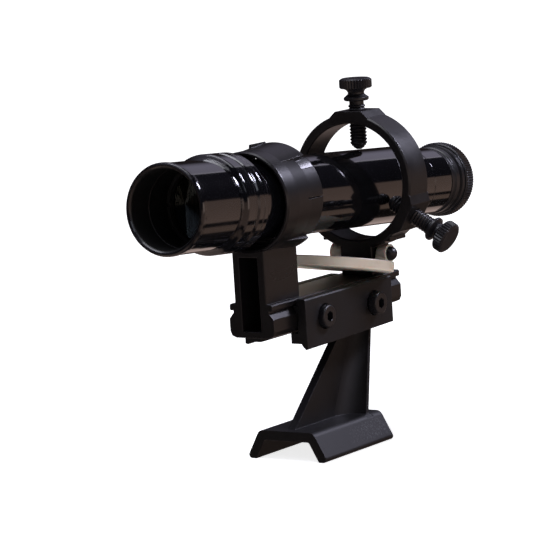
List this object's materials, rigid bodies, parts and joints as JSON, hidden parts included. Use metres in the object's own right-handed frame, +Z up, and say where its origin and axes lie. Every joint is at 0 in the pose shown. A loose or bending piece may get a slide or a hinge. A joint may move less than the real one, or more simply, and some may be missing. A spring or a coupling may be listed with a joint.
{
  "type": "finder scope",
  "caption": "Small straight-through finder telescope in a collar and three-screw ring, on a sliding dovetail bar and stalked foot.",
  "frame": {"origin": "centre of the foot, in the plane of its two flange bottoms", "axes": "+Z up through the stalk, +Y from the objective to the eyepiece, +X to the side with the clamp screws"},
  "size_m": [0.0682, 0.1626, 0.1122],
  "materials": {
    "cast_black": "satin black paint on a die casting",
    "moulded_black": "semi-gloss black moulding",
    "gloss_black": "high-gloss black lacquer on aluminium tube",
    "anodised_black": "black anodised",
    "matt_black": "matt black",
    "black_oxide": "blackened steel",
    "white_nylon": "natural nylon",
    "rubber": "matt",
    "cream_plastic": "smooth ivory moulding",
    "lens_glass": "coated optical glass"
  },
  "bodies": {
    "stand": {"stand": "cast_black"},
    "bracket": {"slide_bracket": "moulded_black", "rear_ring": "cast_black", "ring_screw": "black_oxide", "cross_pin": "black_oxide"},
    "rocker": {"rocker_disc": "cream_plastic"},
    "swivel": {"pivot_o_ring": "rubber"},
    "tube": {"dew_shield": "gloss_black", "objective_cell": "gloss_black", "objective_retaining_ring": "matt_black", "crown_lens": "lens_glass", "lens_spacer": "matt_black", "flint_lens": "lens_glass", "main_tube": "gloss_black", "tube_baffle": "matt_black", "rear_tube": "gloss_black", "eyepiece_housing": "gloss_black"},
    "eyepiece": {"eyepiece_barrel": "anodised_black", "crosshair_cell": "matt_black", "field_lens": "lens_glass", "eyepiece_spacer": "matt_black", "eye_lens": "lens_glass", "eye_retainer": "anodised_black"},
    "focus_ring": {"focus_ring": "anodised_black"},
    "clamp_front_tip": {"clamp_tip_front": "white_nylon"},
    "clamp_front_screw": {"clamp_screw_front": "black_oxide"},
    "clamp_rear_tip": {"clamp_tip_rear": "white_nylon"},
    "clamp_rear_screw": {"clamp_screw_rear": "black_oxide"},
    "thumb_top_tip": {"thumb_tip_top": "black_oxide"},
    "thumb_top_screw": {"thumb_screw_top": "black_oxide"},
    "thumb_right_tip": {"thumb_tip_right": "black_oxide"},
    "thumb_right_screw": {"thumb_screw_right": "black_oxide"},
    "thumb_left_tip": {"thumb_tip_left": "black_oxide"},
    "thumb_left_screw": {"thumb_screw_left": "black_oxide"}
  },
  "joints": [
    {"name": "bracket_slide", "type": "slide", "parent": "stand", "child": "bracket", "axis": [0, 1, 0], "range_m": [-0.017, 0.02]},
    {"name": "rocker_fold", "type": "hinge", "parent": "bracket", "child": "rocker", "pos_m": [0, 0.0294, 0.0571], "axis": [1, 0, 0], "range_deg": [0, 12]},
    {"name": "clamp_front_advance", "type": "slide", "parent": "stand", "child": "clamp_front_tip", "axis": [1, 0, 0], "range_m": [0, 0.0021]},
    {"name": "clamp_front_turn", "type": "hinge", "parent": "clamp_front_tip", "child": "clamp_front_screw", "pos_m": [0.0117, -0.0108, 0.0438], "axis": [1, 0, 0], "range_deg": [0, 1085]},
    {"name": "clamp_rear_advance", "type": "slide", "parent": "stand", "child": "clamp_rear_tip", "axis": [1, 0, 0], "range_m": [-0.0009, 0.0012]},
    {"name": "clamp_rear_turn", "type": "hinge", "parent": "clamp_rear_tip", "child": "clamp_rear_screw", "pos_m": [0.0127, 0.0168, 0.0435], "axis": [1, 0, 0], "range_deg": [-465, 620]},
    {"name": "tube_yaw", "type": "hinge", "parent": "bracket", "child": "swivel", "pos_m": [0, -0.0237, 0.0812], "axis": [0, 0, 1], "range_deg": [-1.5, 1.5]},
    {"name": "tube_pitch", "type": "hinge", "parent": "swivel", "child": "tube", "pos_m": [0, -0.0237, 0.0812], "axis": [0.9997, 0.0262, 0], "range_deg": [0, 4]},
    {"name": "focus_travel", "type": "slide", "parent": "tube", "child": "eyepiece", "axis": [-0.0261, 0.9971, -0.0718], "range_m": [0, 0.004]},
    {"name": "focus_turn", "type": "hinge", "parent": "eyepiece", "child": "focus_ring", "pos_m": [-0.00284, 0.08186, 0.0736], "axis": [-0.0261, 0.9971, -0.0718], "range_deg": [0, 721]},
    {"name": "thumb_top_advance", "type": "slide", "parent": "bracket", "child": "thumb_top_tip", "axis": [0, 0, 1], "range_m": [0, 0.0038]},
    {"name": "thumb_top_turn", "type": "hinge", "parent": "thumb_top_tip", "child": "thumb_top_screw", "pos_m": [0, 0.03115, 0.0898], "axis": [0, 0, 1], "range_deg": [0, 1306]},
    {"name": "thumb_right_advance", "type": "slide", "parent": "bracket", "child": "thumb_right_tip", "axis": [0.866, 0, -0.5], "range_m": [-0.0014, 0.0014]},
    {"name": "thumb_right_turn", "type": "hinge", "parent": "thumb_right_tip", "child": "thumb_right_screw", "pos_m": [0.01061, 0.03115, 0.07377], "axis": [0.866, 0, -0.5], "range_deg": [-479, 479]},
    {"name": "thumb_left_advance", "type": "slide", "parent": "bracket", "child": "thumb_left_tip", "axis": [-0.866, 0, -0.5], "range_m": [-0.00139, 0.00139]},
    {"name": "thumb_left_turn", "type": "hinge", "parent": "thumb_left_tip", "child": "thumb_left_screw", "pos_m": [-0.01303, 0.03115, 0.07237], "axis": [-0.866, 0, -0.5], "range_deg": [-479, 479]}
  ],
  "couplings": [
    {"joint": "clamp_front_turn", "follows": "clamp_front_advance", "rad_per_m": 8976},
    {"joint": "clamp_rear_turn", "follows": "clamp_rear_advance", "rad_per_m": 8976},
    {"joint": "focus_turn", "follows": "focus_travel", "rad_per_m": 3141.6},
    {"joint": "thumb_top_turn", "follows": "thumb_top_advance", "rad_per_m": 5984},
    {"joint": "tube_pitch", "follows": "thumb_top_advance", "rad_per_m": 18.149},
    {"joint": "thumb_left_turn", "follows": "thumb_left_advance", "rad_per_m": 5984},
    {"joint": "tube_yaw", "follows": "thumb_left_advance", "rad_per_m": 18.657},
    {"joint": "thumb_right_advance", "follows": "thumb_left_advance", "ratio": -1},
    {"joint": "thumb_right_turn", "follows": "thumb_left_advance", "rad_per_m": -5984}
  ]
}
